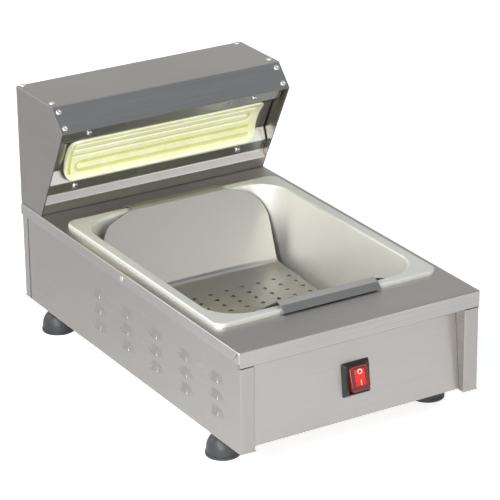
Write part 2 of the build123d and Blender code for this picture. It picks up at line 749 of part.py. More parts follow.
with BuildPart() as ceramic_element:
    with BuildSketch(Plane.YZ.offset(heater_shift)):
        with BuildLine():
            crest = ThreePointArc(*heater_arc(0))
            Line(crest @ 1, mouth(heater_high, heater_rim_back))
            ThreePointArc(mouth(heater_high, heater_rim_back),
                          mouth(heater_centre, trough_face - heater_back_gap),
                          mouth(heater_low, heater_rim_back))
            Line(mouth(heater_low, heater_rim_back), crest @ 0)
        make_face()
    extrude(amount=heater_length / 2, both=True)
    with BuildSketch(mouth_plane(heater_shift, heater_centre, 0)):
        RectangleRounded(heater_length, heater_width, heater_corner)
    extrude(amount=-(trough_face + neck_reach), mode=Mode.INTERSECT)
    dish_middle = Vector(heater_shift, *mouth(heater_centre, heater_face + heater_sag))
    dish_face = ceramic_element.faces().sort_by_distance(dish_middle)[0]
    add(groove_cutter.part, mode=Mode.SUBTRACT)
    fillet([e for e in ceramic_element.edges() if dish_face.distance_to(e @ 0.5) < 0.01],
           radius=round_share * ridge_pitch)
    with BuildSketch(mouth_plane(heater_shift, heater_centre, trough_face - 2 * heater_back_gap)):
        RectangleRounded(neck_length, neck_width, 1.5)
    extrude(amount=-(neck_reach + 2 * heater_back_gap))
finish(ceramic_element, "ceramic_element")

# Spring clip across the neck, behind the reflector
with BuildPart() as element_clip:
    clip_plane = mouth_plane(heater_shift, heater_centre, trough_face + reflector_sheet)
    with BuildSketch(clip_plane):
        RectangleRounded(neck_length + 2 * clip_margin, neck_width + 1.5 * clip_margin, 3)
        Rectangle(neck_length + neck_gap, neck_width + neck_gap, mode=Mode.SUBTRACT)
    extrude(amount=-clip_sheet)
    for side in (-1, 1):
        with BuildSketch(clip_plane.offset(-clip_sheet / 2)):
            with Locations((0, side * (neck_width / 2 + 0.75 * clip_margin - clip_sheet / 2))):
                Rectangle(neck_length, clip_sheet)
        extrude(amount=-clip_lug)
finish(element_clip, "element_clip")

# Pan, drawn from one sheet
pan_top = deck_z + lip_rise
pan_mouth_x = pan_width - 2 * pan_lip
pan_mouth_y = pan_length - 2 * pan_lip


def pan_hollow(grow):
    """The pan's tapered inside, grown by a wall."""
    shrink = 2 * pan_depth * tan(radians(pan_taper))
    with BuildPart() as hollow:
        with BuildSketch(Plane.XY.offset(pan_top)):
            with Locations((0, pan_mid_y)):
                RectangleRounded(pan_mouth_x + 2 * grow, pan_mouth_y + 2 * grow, pan_mouth_corner + grow)
        with BuildSketch(Plane.XY.offset(pan_top - pan_depth - grow)):
            with Locations((0, pan_mid_y)):
                RectangleRounded(pan_mouth_x - shrink + 2 * grow, pan_mouth_y - shrink + 2 * grow,
                                 pan_floor_corner + grow)
        loft(ruled=True)
        fillet(hollow.edges().group_by(Axis.Z)[0], radius=pan_floor_fillet + grow)
    return hollow.part


with BuildPart() as gn_pan:
    with BuildSketch(Plane.XY.offset(pan_top)):
        with Locations((0, pan_mid_y)):
            RectangleRounded(pan_width, pan_length, pan_corner)
    extrude(amount=-lip_rise)
    fillet(gn_pan.faces().sort_by(Axis.Z)[-1].edges(), radius=lip_fold)
    offset(amount=-pan_sheet, openings=gn_pan.faces().sort_by(Axis.Z)[0])
    add(pan_hollow(pan_sheet))
    under_lip = gn_pan.edges().filter_by_position(Axis.Z, pan_top - pan_sheet - 0.01,
                                                  pan_top - pan_sheet + 0.01)
    fillet([e for e in under_lip if abs(e.center().X) < pan_mouth_x / 2 + 2
            and abs(e.center().Y - pan_mid_y) < pan_mouth_y / 2 + 2],
           radius=mouth_round - pan_sheet)
    add(pan_hollow(0), mode=Mode.SUBTRACT)
    over_lip = gn_pan.edges().filter_by_position(Axis.Z, pan_top - 0.01, pan_top + 0.01)
    fillet([e for e in over_lip if abs(e.center().X) < pan_mouth_x / 2 + 1
            and abs(e.center().Y - pan_mid_y) < pan_mouth_y / 2 + 1],
           radius=mouth_round)
finish(gn_pan, "gn_pan")

# Drainer insert: one perforated sheet, hooked over the pan's front and rear lips
insert_folds = [
    (-hook_overhang, hook_tip_rise), (front_hook_bend, front_bend_rise), (front_peak, front_peak_rise),
    (floor_front, -floor_front_drop), (pan_length - floor_rear, -floor_rear_drop),
    (pan_length - rear_peak, rear_peak_rise), (pan_length - rear_hook_bend, rear_bend_rise),
    (pan_length + rear_overhang, hook_tip_rise),
]
insert_path = [spot(pan_setback + depth, height) for depth, height in insert_folds]
insert_radii = [insert_bend, insert_bend, 2 * insert_bend, 4 * insert_bend, insert_bend, insert_bend]
insert_half_width = pan_mouth_x / 2 - insert_inset
hook_half_width = insert_half_width - hook_inset
shoulder_half_width = insert_half_width - shoulder_inset
floor_half_width = insert_half_width - floor_inset
floor_run = pan_length - floor_rear - floor_front
floor_lean = atan2(floor_front_drop - floor_rear_drop, floor_run)
holes_height = (holes_shift / floor_run * (floor_front_drop - floor_rear_drop)
                - (floor_front_drop + floor_rear_drop) / 2)
holes_plane = Plane(origin=(0, *spot(pan_setback + floor_front + floor_run / 2 + holes_shift,
                                     holes_height)),
                    x_dir=(1, 0, 0), z_dir=(0, -sin(floor_lean), cos(floor_lean)))
with BuildPart() as drainer_insert:
    with BuildSketch(Plane.YZ):
        with BuildLine():
            FilletPolyline(*insert_path, radius=insert_radii)
            offset(amount=insert_sheet, side=Side.LEFT)
        make_face()
    extrude(amount=insert_half_width, both=True)
    # shoulders that narrow towards the hooks
    with BuildSketch(Plane.XZ.offset(-front_y)):
        with BuildLine():
            low_z, wide_z = deck_z - 1.5 * floor_front_drop, deck_z - shoulder_drop
            Polyline((0, deck_z + 2 * front_peak_rise), (hook_half_width, deck_z + 2 * front_peak_rise),
                     (hook_half_width, deck_z + rear_peak_rise), (shoulder_half_width, deck_z))
            bulge = ThreePointArc((shoulder_half_width, deck_z),
                                  (insert_half_width - 5, deck_z - 0.4 * shoulder_drop),
                                  (insert_half_width, wide_z))
            Polyline(bulge @ 1, (floor_half_width, deck_z - floor_front_drop), (floor_half_width, low_z),
                     (0, low_z))
            mirror(about=Plane.YZ)
        make_face()
    extrude(amount=-deck_depth, mode=Mode.INTERSECT)
    # the hooks themselves are narrow
    with BuildSketch(Plane.XY.offset(deck_z)):
        for side in (-1, 1):
            for depth, edge in ((front_peak, Align.MAX), (pan_length - rear_peak, Align.MIN)):
                with Locations((side * (hook_half_width + insert_half_width), pan_front_y + depth)):
                    Rectangle(2 * insert_half_width, pan_lip + front_peak, align=(Align.CENTER, edge))
    extrude(amount=2 * front_peak_rise, mode=Mode.SUBTRACT)
    with BuildSketch(holes_plane):
        with GridLocations(hole_pitch_x, hole_pitch_y, hole_columns, hole_rows):
            Circle(hole_diameter / 2)
    extrude(amount=2 * insert_sheet, both=True, mode=Mode.SUBTRACT)
finish(drainer_insert, "drainer_insert")

# Rocker switch: housing snapped into the front panel
rocker_half = rocker_width / 2
well_half = rocker_reach + rocker_gap
with BuildPart() as switch_housing:
    with BuildSketch(switch_plane):
        RectangleRounded(bezel_width, bezel_height, 2)
    with BuildSketch(switch_plane.offset(bezel_proud)):
        RectangleRounded(bezel_face_width, bezel_face_height, 1.5)
    loft(ruled=True)
    with BuildSketch(switch_plane):
        RectangleRounded(switch_body_width, switch_body_height, 1)
    extrude(amount=-switch_body_depth)
    # well for the rocker
    with BuildSketch(switch_plane.offset(bezel_proud)):
        Rectangle(rocker_width + 2 * rocker_gap, 2 * well_half)
    extrude(amount=-(bezel_proud + rocker_reach - pivot_proud), mode=Mode.SUBTRACT)
    # bearings for the rocker's pivots
    with BuildSketch(Plane(origin=switch_plane.origin + switch_plane.z_dir * pivot_proud,
                           x_dir=(0, 1, 0), z_dir=(1, 0, 0))):
        Circle(pivot_radius + rocker_gap)
    extrude(amount=rocker_half + rocker_gap + pivot_reach, both=True, mode=Mode.SUBTRACT)
finish(switch_housing, "switch_housing")

# Rocker: its ends are arcs about the pivot, and at rest its lower half stands out
pivot_origin = switch_plane.origin + switch_plane.z_dir * pivot_proud
upright_plane = Plane(origin=pivot_origin, x_dir=(1, 0, 0), z_dir=switch_plane.z_dir)
rocker_plane = upright_plane.rotated((-rocker_tilt, 0, 0))
face_reach = sqrt(rocker_reach ** 2 - rocker_face ** 2)
back_reach = sqrt(rocker_reach ** 2 - rocker_back ** 2)
with BuildPart() as switch_rocker:
    with BuildSketch(Plane(origin=pivot_origin, x_dir=rocker_plane.y_dir, z_dir=(1, 0, 0))):
        with BuildLine():
            face = Line((-face_reach, rocker_face), (face_reach, rocker_face))
            ThreePointArc(face @ 1, (rocker_reach, 0), (back_reach, -rocker_back))
            back = Line((back_reach, -rocker_back), (-back_reach, -rocker_back))
            ThreePointArc(back @ 1, (-rocker_reach, 0), face @ 0)
        make_face()
    extrude(amount=rocker_half, both=True)
    with BuildSketch(Plane(origin=pivot_origin, x_dir=(0, 1, 0), z_dir=(1, 0, 0))):
        Circle(pivot_radius)
    extrude(amount=rocker_half + pivot_reach, both=True)
finish(switch_rocker, "switch_rocker")

with BuildPart() as switch_terminals:
    with BuildSketch(switch_plane.offset(-switch_body_depth)):
        with GridLocations(switch_body_width / 2, switch_body_height / 3, 2, 2):
            Rectangle(blade_width, blade_thickness)
    extrude(amount=-blade_length)
finish(switch_terminals, "switch_terminals")

# Feet: bell-shaped rubber, each bolted through the base plate
for name, (x, y) in foot_spots.items():
    with BuildPart() as foot:
        with BuildSketch(Plane(origin=(x, y, 0), x_dir=(1, 0, 0), z_dir=(0, -1, 0))):
            with BuildLine():
                base = Polyline((foot_recess_radius, 0), (foot_radius, 0), (foot_radius, foot_band),
                                (foot_wall, foot_band), (foot_wall - 0.4, foot_shoulder))
                dome = RadiusArc(base @ 1, (foot_neck, 0.72 * foot_height), -1.6 * foot_neck)
                top = ThreePointArc(dome @ 1, (foot_neck - 0.2, 0.86 * foot_height),
                                    (foot_top, foot_height))
                Polyline(top @ 1, (bolt_hole, foot_height), (bolt_hole, foot_recess_depth),
                         (foot_recess_radius, foot_recess_depth), base @ 0)
            make_face()
        revolve(axis=Axis((x, y, 0), (0, 0, 1)))
    finish(foot, name)

bolt_length = foot_height - foot_recess_depth + sheet + nut_height + bolt_end
with BuildPart() as foot_bolts:
    for x, y in foot_spots.values():
        with Locations(Plane(origin=(x, y, foot_recess_depth), z_dir=(0, 0, -1))):
            add(round_head(bolt_head, bolt_head_height, bolt_shank, bolt_length))
finish(foot_bolts, "foot_bolts")

with BuildPart() as foot_nuts:
    with Locations(*[(x, y, casing_bottom) for x, y in foot_spots.values()]):
        add(hex_nut(nut_across_flats, nut_height, bolt_shank + 2 * nut_gap))
finish(foot_nuts, "foot_nuts")

# Rivets and screws
fastener_groups = {
    "deck_rivets": (deck_rivet_seats, blind_rivet()),
    "hood_rivets": (hood_rivet_seats, blind_rivet()),
    "reflector_screws": (reflector_seats, cross_screw(reflector_screw_length)),
    "hood_screws": (hood_screw_seats, cross_screw(casing_screw_length)),
    "rear_panel_screws": (rear_screw_seats, cross_screw(casing_screw_length)),
    "base_screws": (base_screw_seats, cross_screw(casing_screw_length)),
}
for name, (seats, fastener) in fastener_groups.items():
    with BuildPart() as fasteners:
        with Locations(*seats):
            add(fastener)
    finish(fasteners, name)

# Cable gland in the rear panel, with its nut inside
with BuildPart() as cable_gland:
    with BuildSketch(gland_plane):
        RegularPolygon(radius=gland_collar / 2, side_count=6, major_radius=False)
    extrude(amount=gland_collar_height)
    with BuildSketch(gland_plane.offset(gland_collar_height)):
        Circle(gland_cap / 2)
    extrude(amount=rear_y + gland_reach - panel_rear - gland_collar_height)
    fillet(cable_gland.faces().sort_by(Axis.Y)[-1].edges(), radius=4)
    with BuildSketch(gland_plane):
        Circle(gland_thread / 2)
    extrude(amount=-gland_inner_length)
    with BuildSketch(gland_plane.offset(-gland_inner_length)):
        Circle(gland_bore / 2)
    extrude(amount=2 * gland_inner_length + gland_reach, mode=Mode.SUBTRACT)
finish(cable_gland, "cable_gland")

with BuildPart() as gland_nut:
    with Locations(Plane(origin=gland_plane.origin - gland_plane.z_dir * sheet, x_dir=(1, 0, 0),
                         z_dir=(0, -1, 0))):
        add(hex_nut(gland_nut_flats, gland_nut_height, gland_thread + 2 * nut_gap))
finish(gland_nut, "gland_nut")

# Mains terminal block and earth stud on the base plate
with BuildPart() as terminal_block:
    with BuildSketch(Plane.XY.offset(casing_bottom)):
        with Locations((block_x, wiring_y)):
            RectangleRounded(block_length, block_width, 2)
    extrude(amount=block_height)
    with Locations((block_x, wiring_y, casing_bottom + block_height / 2)):
        with Locations(Rotation(90, 0, 0)):
            with GridLocations(pole_pitch, pole_pitch, 3, 1):
                Cylinder(wire_bore / 2, 2 * block_width, mode=Mode.SUBTRACT)
finish(terminal_block, "terminal_block")

with BuildPart() as earth_stud:
    stud_base = Plane(origin=(stud_x, wiring_y, foot_height), z_dir=(0, 0, -1))
    with Locations(stud_base):
        add(round_head(bolt_head, bolt_head_height, stud_shank, stud_height))
finish(earth_stud, "earth_stud")

with BuildPart() as earth_nut:
    with Locations((stud_x, wiring_y, casing_bottom)):
        add(hex_nut(nut_across_flats, nut_height, stud_shank + 2 * nut_gap))
finish(earth_nut, "earth_nut")
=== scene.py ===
# %% [markdown]
# # A fry holding station in brushed stainless steel
# The object is a folded steel box that keeps fried food hot. A pan hangs in its deck, and a hood at
# the back holds a glazed ceramic heater over the pan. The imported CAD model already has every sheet,
# fold, louvre and screw. This lesson frames the whole as in a catalogue picture, gives the parts their
# finishes, models the clear rocker of the switch afresh, and then lays the floor and hangs the lamps.

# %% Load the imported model
import json
from math import atan, cos, pi, radians, sin

import bmesh
import bpy
from mathutils import Euler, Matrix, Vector


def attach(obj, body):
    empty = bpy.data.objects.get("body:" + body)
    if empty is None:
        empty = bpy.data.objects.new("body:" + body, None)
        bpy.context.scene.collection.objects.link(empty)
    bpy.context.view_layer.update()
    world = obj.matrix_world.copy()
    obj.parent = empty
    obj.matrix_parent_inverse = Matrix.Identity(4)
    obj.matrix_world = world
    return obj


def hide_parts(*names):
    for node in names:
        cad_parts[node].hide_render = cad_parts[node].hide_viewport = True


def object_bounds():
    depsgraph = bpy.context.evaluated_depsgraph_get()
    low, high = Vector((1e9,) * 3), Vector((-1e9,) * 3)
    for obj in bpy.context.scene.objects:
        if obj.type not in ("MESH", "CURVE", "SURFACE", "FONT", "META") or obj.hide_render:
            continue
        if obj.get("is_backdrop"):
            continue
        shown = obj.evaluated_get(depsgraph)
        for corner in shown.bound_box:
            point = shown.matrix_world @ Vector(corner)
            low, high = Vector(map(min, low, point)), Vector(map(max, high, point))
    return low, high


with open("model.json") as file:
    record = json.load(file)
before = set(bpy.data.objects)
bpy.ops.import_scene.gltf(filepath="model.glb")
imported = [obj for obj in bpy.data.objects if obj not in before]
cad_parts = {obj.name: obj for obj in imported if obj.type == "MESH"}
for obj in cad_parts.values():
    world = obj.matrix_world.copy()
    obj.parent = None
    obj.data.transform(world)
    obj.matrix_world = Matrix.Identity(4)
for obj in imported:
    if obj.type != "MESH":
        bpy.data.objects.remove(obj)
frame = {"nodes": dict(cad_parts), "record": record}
cad_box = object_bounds()
bpy.context.scene.view_settings.view_transform = "Standard"
print(len(frame["nodes"]), "parts; whole box", [round(c, 4) for corner in cad_box for c in corner])

# %% [markdown]
# ## The camera
# A picture of a square box shows where the camera stood: the edges that run away from us meet far off
# at vanishing points, and their places give the direction of view and the focal length. Solving those
# edges for this object gives a long lens nearly three metres away, left of the front and well above
# it. A long lens keeps the box's edges almost parallel, as product pictures usually do.

# %% Set up the camera
camera_place = Vector((-1.33347, -2.26489, 1.22278))    # metres
camera_turn = Euler((radians(67.4187), radians(0.6308), radians(-31.0805)), "XYZ")
sensor_width = 36.0         # millimetres
focal_length = 192.67       # millimetres
camera_data = bpy.data.cameras.new("catalogue_camera")
camera_data.sensor_width = sensor_width
camera_data.lens = focal_length
camera_data.clip_end = 50.0
camera = bpy.data.objects.new("catalogue_camera", camera_data)
camera.location = camera_place
camera.rotation_euler = camera_turn
bpy.context.collection.objects.link(camera)
bpy.context.scene.camera = camera
field = 2 * atan(sensor_width / 2 / focal_length)
print("camera sees", round(field * 180 / pi, 2), "degrees")

# %% [markdown]
# ## Colours
# Colours are written as they look on a screen, as sRGB hex values. Blender's shaders count in linear
# light, so one function turns a hex value into the numbers that a node wants.

# %% Turn screen colours to linear light
def linear(hex_colour):
    """The linear RGBA of an sRGB hex colour."""
    channels = [int(hex_colour[i:i + 2], 16) / 255 for i in (1, 3, 5)]
    return tuple(c / 12.92 if c <= 0.04045 else ((c + 0.055) / 1.055) ** 2.4 for c in channels) + (1.0,)


print("mid grey is", round(linear("#808080")[0], 3), "in linear light")

# %% [markdown]
# ## Building a material from nodes
# A material is a small tree of nodes. One function adds a node, sets its values and joins its inputs,
# so each material below reads as a list of what it is made from.

# %% Helpers for materials
def add_node(tree, kind, settings=None, **inputs):
    """Adds a node, and gives each input a value or the socket that feeds it. In an input's name an
    underscore stands for a space, and n3 means input number 3."""
    node = tree.nodes.new(kind)
    for key, value in (settings or {}).items():
        setattr(node, key, value)
    for key, value in inputs.items():
        socket = node.inputs[int(key[1:])] if key[0] == "n" and key[1:].isdigit() else \
            node.inputs[key.replace("_", " ")]
        if isinstance(value, bpy.types.NodeSocket):
            tree.links.new(value, socket)
        else:
            socket.default_value = value
    return node


def new_material(name):
    """An empty material, with its tree and its Principled shader."""
    material = bpy.data.materials.new(name)
    material.use_nodes = True
    shader = material.node_tree.nodes["Principled BSDF"]
    return material, material.node_tree, shader


def plain_values(shader, **values):
    """Sets what is the same all over a surface on the shader's own sockets."""
    for key, value in values.items():
        shader.inputs[key.replace("_", " ")].default_value = value


def dress(material, *names):
    """Gives the named CAD parts this material."""
    for name in names:
        for slot in frame["nodes"][name].material_slots:
            slot.material = material


print("material helpers ready")

# %% [markdown]
# ## Brushed stainless steel
# The casing is stainless sheet with a brushed finish: an abrasive belt has left fine straight lines
# that all run one way, and they soften what the steel reflects. The lines on the real sheet are about
# a tenth of a millimetre apart, too fine for this picture, so here they are drawn about a millimetre
# apart: a noise pattern is stretched a hundredfold along the grain. The same pattern moves the colour,
# the roughness and the surface a little, and a slower one gives the faint clouding of rolled sheet.
#
# Each sheet was cut from its own piece of stock and turned its own way before it was folded, so they
# differ a little in tone, and the grain runs across the deck but along the sides. Two tones are
# painted light and shade, though: the paler strip under the heater is painted light in the hood's
# shade, and the darker side panels are painted shade.

# %% Make the brushed steels
line_pitch = 0.0011         # metres between brush lines, about ten times the real pitch
line_length = 0.11          # metres, about the longest scratch of the belt
line_depth = line_pitch / 8     # metres
line_strength = 0.02        # how much of that depth the light sees
line_gloss = 0.015          # how far roughness swings from line to line
cloud_size = 0.16           # metres across one cloud of the rolled sheet
cloud_share = 0.4           # of the tone; the lines have the rest
crosswise, lengthwise = 0, 1    # the axis that the grain follows, X or Y


def brushed_steel(name, colour, dark_colour, grain, roughness=0.34):
    """Brushed stainless steel between two tones, its lines along one axis of the object."""
    material, tree, shader = new_material(name)
    place = add_node(tree, "ShaderNodeTexCoord").outputs["Object"]
    stretch = [1 / line_length if axis == grain else 1 / line_pitch for axis in range(3)]
    stretched = add_node(tree, "ShaderNodeMapping", Vector=place, Scale=stretch)
    lines = add_node(tree, "ShaderNodeTexNoise", Vector=stretched.outputs[0], Scale=1.0, Detail=2.0)
    clouds = add_node(tree, "ShaderNodeTexNoise", Vector=place, Scale=1 / cloud_size, Detail=1.0)
    both = add_node(tree, "ShaderNodeMix", {"data_type": "FLOAT"}, Factor=cloud_share,
                    n2=lines.outputs["Fac"], n3=clouds.outputs["Fac"])
    tint = add_node(tree, "ShaderNodeMix", {"data_type": "RGBA"}, n0=both.outputs[0],
                    n6=linear(dark_colour), n7=linear(colour))
    tree.links.new(tint.outputs[2], shader.inputs["Base Color"])
    rough = add_node(tree, "ShaderNodeMapRange", Value=lines.outputs["Fac"], From_Min=0.3, From_Max=0.7,
                     To_Min=roughness - line_gloss, To_Max=roughness + line_gloss)
    tree.links.new(rough.outputs[0], shader.inputs["Roughness"])
    bump = add_node(tree, "ShaderNodeBump", Strength=line_strength, Distance=line_depth,
                    Height=lines.outputs["Fac"])
    tree.links.new(bump.outputs[0], shader.inputs["Normal"])
    plain_values(shader, Metallic=1.0)
    return material


# %% Dress the casing and the hood
# Plainly visible lines, on the wide sheets that lie open to the eye
dress(brushed_steel("stainless_brushed_top", "#C6C3C0", "#9F9C99", crosswise),
      "deck_top", "hood_cover", "reflector_bracket")
# Fainter lines, which leave the upright panels almost even in tone
dress(brushed_steel("stainless_brushed_across", "#BDBAB7", "#ADAAA7", crosswise),
      "front_panel", "rear_panel", "base_plate")
# Painted light: a paler tone than the other sheets, so that the strip under the heater stays bright in
# the hood's shade
dress(brushed_steel("stainless_brushed_painted_light", "#D0CDC8", "#C2BFBA", crosswise), "hood_lower_front")
# A smoother brushing, so that each louvre catches a small bright spot, in a tone darker than the front
# panel's: painted shade on the sides
dress(brushed_steel("stainless_brushed_side_painted_shade", "#B4B0AD", "#A6A29F", lengthwise, 0.26),
      "left_side_panel", "right_side_panel")
# A darker sheet, which sets the ends of the hood off from the side panels below
dress(brushed_steel("stainless_brushed_cheek", "#A39F9C", "#8D8987", lengthwise),
      "hood_left_cheek", "hood_right_cheek")
print("casing brushed, each line about", round(line_length / line_pitch), "times as long as wide")

# %% [markdown]
# ## The pan, the drainer, the reflector and the fastenings
# A gastronorm pan is drawn to its shape in a press and then satin finished, so it has no straight
# lines, only soft clouding and a pale, matt skin. The drainer inside is folded from plain cold rolled
# sheet, and the reflector behind the heater from a brighter one, to throw the heat forward. Rivets,
# screws and terminals are bought in, each with the skin of its own metal. One recipe makes them all:
# two close tones in soft clouds, with the roughness following them. The clouds are as large as the
# metal flowed: several centimetres on a drawn pan, and a few millimetres on the head of a rivet.

# %% Make the satin metals
satin_gloss = 0.02          # how far roughness swings from cloud to cloud
small_part = 0.004          # metres across a cloud on rivets and screws


def satin_metal(name, colour, dark_colour, roughness, size=0.03):
    """Metal with an even satin skin, in clouds of the given size in metres."""
    material, tree, shader = new_material(name)
    place = add_node(tree, "ShaderNodeTexCoord").outputs["Object"]
    clouds = add_node(tree, "ShaderNodeTexNoise", Vector=place, Scale=1 / size, Detail=3.0)
    tint = add_node(tree, "ShaderNodeMix", {"data_type": "RGBA"}, n0=clouds.outputs["Fac"],
                    n6=linear(dark_colour), n7=linear(colour))
    tree.links.new(tint.outputs[2], shader.inputs["Base Color"])
    rough = add_node(tree, "ShaderNodeMapRange", Value=clouds.outputs["Fac"],
                     To_Min=roughness - satin_gloss, To_Max=roughness + satin_gloss)
    tree.links.new(rough.outputs[0], shader.inputs["Roughness"])
    plain_values(shader, Metallic=1.0)
    return material


print("satin metals ready, clouds on small parts", small_part * 1000, "mm across")

# %% Dress the pan, the drainer and the sheets round the heater
# Drawn and satin finished: pale and matt, so that light spreads softly inside the pan
dress(satin_metal("stainless_drawn_satin", "#EFEFE9", "#E6E6E0", 0.63, 0.08), "gn_pan")
# Cold rolled: greyer and smoother, so that the drainer mirrors the pan's walls a little
dress(satin_metal("stainless_cold_rolled", "#BCB9B4", "#B6B3AE", 0.33, 0.1), "drainer_insert")
# Bright rolled: a clearer skin, which mirrors the heater, and a faint yellow-green tint in its colour, a
# painted reflection of the heater
dress(satin_metal("stainless_bright_rolled_painted_reflection", "#B6B7B1", "#A9AAA4", 0.27), "reflector")
# Bare spring steel: a darker grey, hidden behind the heater
dress(satin_metal("spring_steel_bare", "#9C9A96", "#8C8A86", 0.3), "element_clip")
print("pan, drainer and reflector dressed")

# %% Dress the fastenings
# Aluminium, nearly white: painted light on heads that face up and to the front, which dot the grey hood
dress(satin_metal("aluminium_rivet_painted_light", "#F4F4F2", "#E6E6E3", 0.42, small_part), "hood_rivets")
# Aluminium in a plainer grey along the deck's edge, without the painted light of the hood's heads
dress(satin_metal("aluminium_rivet_dull", "#DADAD7", "#CCCCC8", 0.32, small_part), "deck_rivets")
# Bright zinc plating: a sharp glint on every screw
dress(satin_metal("zinc_plated_bright", "#DAD9D5", "#C6C5C0", 0.24, small_part),
      "reflector_screws", "hood_screws", "rear_panel_screws", "base_screws", "foot_bolts", "foot_nuts",
      "earth_stud", "earth_nut")
# Stamped brass: warm yellow blades
dress(satin_metal("brass_stamped", "#D9B45C", "#C49C48", 0.3, small_part), "switch_terminals")
print("fastenings dressed")

# %% [markdown]
# ## The ceramic heater
# The heater is a cast ceramic slab with a pale yellow-green glaze. Glaze is glass: it is smooth, it
# reflects the lamps as soft streaks along the ribs, and it lies thinner over the crests, which look
# paler, and thicker in the grooves, which look deeper in colour. That deeper colour in the grooves is
# partly the pooled glaze and partly painted shade. The Pointiness of the surface tells crest from
# groove, and a little noise stands for glaze that ran as it melted.

# %% Make the glaze
crest_range = (0.44, 0.56)  # Pointiness at the bottom of a groove and on a crest
pool_size = 1 / 60          # metres, about 17 mm, across a place where the glaze pooled
pool_share = 0.25           # of the tone; the ribs have the rest


def glazed_ceramic():
    """Yellow-green glaze, paler on the crests of the ribs and deeper in the grooves, partly painted
    shade.
    """
    material, tree, shader = new_material("ceramic_glazed")
    crest = add_node(tree, "ShaderNodeNewGeometry").outputs["Pointiness"]
    glaze_depth_and_painted_shade = add_node(tree, "ShaderNodeMapRange", Value=crest, From_Min=crest_range[0],
                     From_Max=crest_range[1])
    place = add_node(tree, "ShaderNodeTexCoord").outputs["Object"]
    pooling = add_node(tree, "ShaderNodeTexNoise", Vector=place, Scale=1 / pool_size, Detail=2.0)
    mottled = add_node(tree, "ShaderNodeMix", {"data_type": "FLOAT"}, n0=pool_share,
                       n2=glaze_depth_and_painted_shade.outputs[0], n3=pooling.outputs["Fac"])
    # The deeper groove colour is partly pooled glaze and partly painted shade
    tint = add_node(tree, "ShaderNodeMix", {"data_type": "RGBA"}, n0=mottled.outputs[0],
                    n6=linear("#CDD266"), n7=linear("#FFFFF0"))
    tree.links.new(tint.outputs[2], shader.inputs["Base Color"])
    # A sharp reflection from the skin of the glaze, over a softer one from inside it
    plain_values(shader, Roughness=0.22, IOR=1.5, Coat_Weight=0.6, Coat_Roughness=0.08)
    return material


dress(glazed_ceramic(), "ceramic_element")
print("glaze made")

# %% [markdown]
# ## Plastics and rubber
# The switch housing and the cable gland are moulded nylon, the terminal block is white polypropylene,
# and the feet are moulded black rubber. What makes a moulding look moulded is the fine grain that it
# takes over from its mould and that breaks up its highlights. The real pits are a few tenths of a
# millimetre across, too fine for this picture, so they are drawn just under a millimetre across.

# %% Make the moulded materials
mould_strength = 0.3        # how much of a pit's depth the light sees
mould_gloss = 0.05          # how far roughness swings from pit to pit


def moulded(name, colour, roughness, grain=0.0008, depth=0.00004):
    """Moulded plastic or rubber, with pits of the given width and depth in metres."""
    material, tree, shader = new_material(name)
    place = add_node(tree, "ShaderNodeTexCoord").outputs["Object"]
    pits = add_node(tree, "ShaderNodeTexNoise", Vector=place, Scale=1 / grain, Detail=2.0)
    bump = add_node(tree, "ShaderNodeBump", Strength=mould_strength, Distance=depth,
                    Height=pits.outputs["Fac"])
    tree.links.new(bump.outputs[0], shader.inputs["Normal"])
    rough = add_node(tree, "ShaderNodeMapRange", Value=pits.outputs["Fac"],
                     To_Min=roughness - mould_gloss, To_Max=roughness + mould_gloss)
    tree.links.new(rough.outputs[0], shader.inputs["Roughness"])
    plain_values(shader, Base_Color=linear(colour))
    return material


# Glossy nylon: a clear highlight along the bezel
dress(moulded("nylon_black_moulded", "#262626", 0.38), "switch_housing")
# Duller nylon: a soft highlight round the gland
dress(moulded("nylon_gland_moulded", "#232425", 0.45), "cable_gland", "gland_nut")
# White polypropylene: slightly waxy and warm
dress(moulded("polypropylene_white_moulded", "#E6E4DC", 0.45), "terminal_block")
# Black rubber: really a dark grey, and paler where light grazes it
dress(moulded("rubber_black_moulded", "#353738", 0.45),
      "front_left_foot", "front_right_foot", "rear_left_foot", "rear_right_foot")
print("moulded materials made, roughness", mould_gloss, "either way from pit to pit")

# %% [markdown]
# ## The rocker of the switch
# The switch has a lamp inside, so its rocker is a clear red moulding: a deeper red skirt round a bright
# lens, with O and I for off and on. A plain block would look dead here, so the rocker is built again as
# a stack of rounded outlines, and it replaces the CAD's plain one. Inside the bezel the outlines stay
# within the arc that the rocker's ends swing through, so that it still tips freely. They widen only in
# front of the bezel, and then close over the face.

# %% Find the rocker's face
swing = next(joint for joint in frame["record"]["behaviour"]["joints"] if joint["name"] == "rocker_tip")
rocker_pivot = Vector(swing["pos_m"])
panel_lean = 5.56           # degrees that the front panel leans back
rocker_tilt = 12.0          # degrees that the rocker is tipped, its lower half out
face_lean = radians(panel_lean + rocker_tilt)
face_out = Vector((0, -cos(face_lean), sin(face_lean)))
face_up = Vector((0, sin(face_lean), cos(face_lean)))


def on_face(side, up, out):
    """A point given in millimetres: right and up over the rocker's face, and out from its pivot."""
    return rocker_pivot + (Vector((side, 0, 0)) + face_up * up + face_out * out) / 1000


print("rocker's pivot at", [round(c, 4) for c in rocker_pivot])

# %% Helpers for meshes
def scene_object(name, shape):
    """Puts a finished bmesh into the scene as an object."""
    mesh = bpy.data.meshes.new(name)
    shape.to_mesh(mesh)
    shape.free()
    thing = bpy.data.objects.new(name, mesh)
    bpy.context.collection.objects.link(thing)
    return thing


def join_rings(shape, rings):
    """Fills the faces between each ring of points and the next."""
    for low, high in zip(rings, rings[1:]):
        for i in range(len(low)):
            j = (i + 1) % len(low)
            shape.faces.new((low[i], low[j], high[j], high[i]))


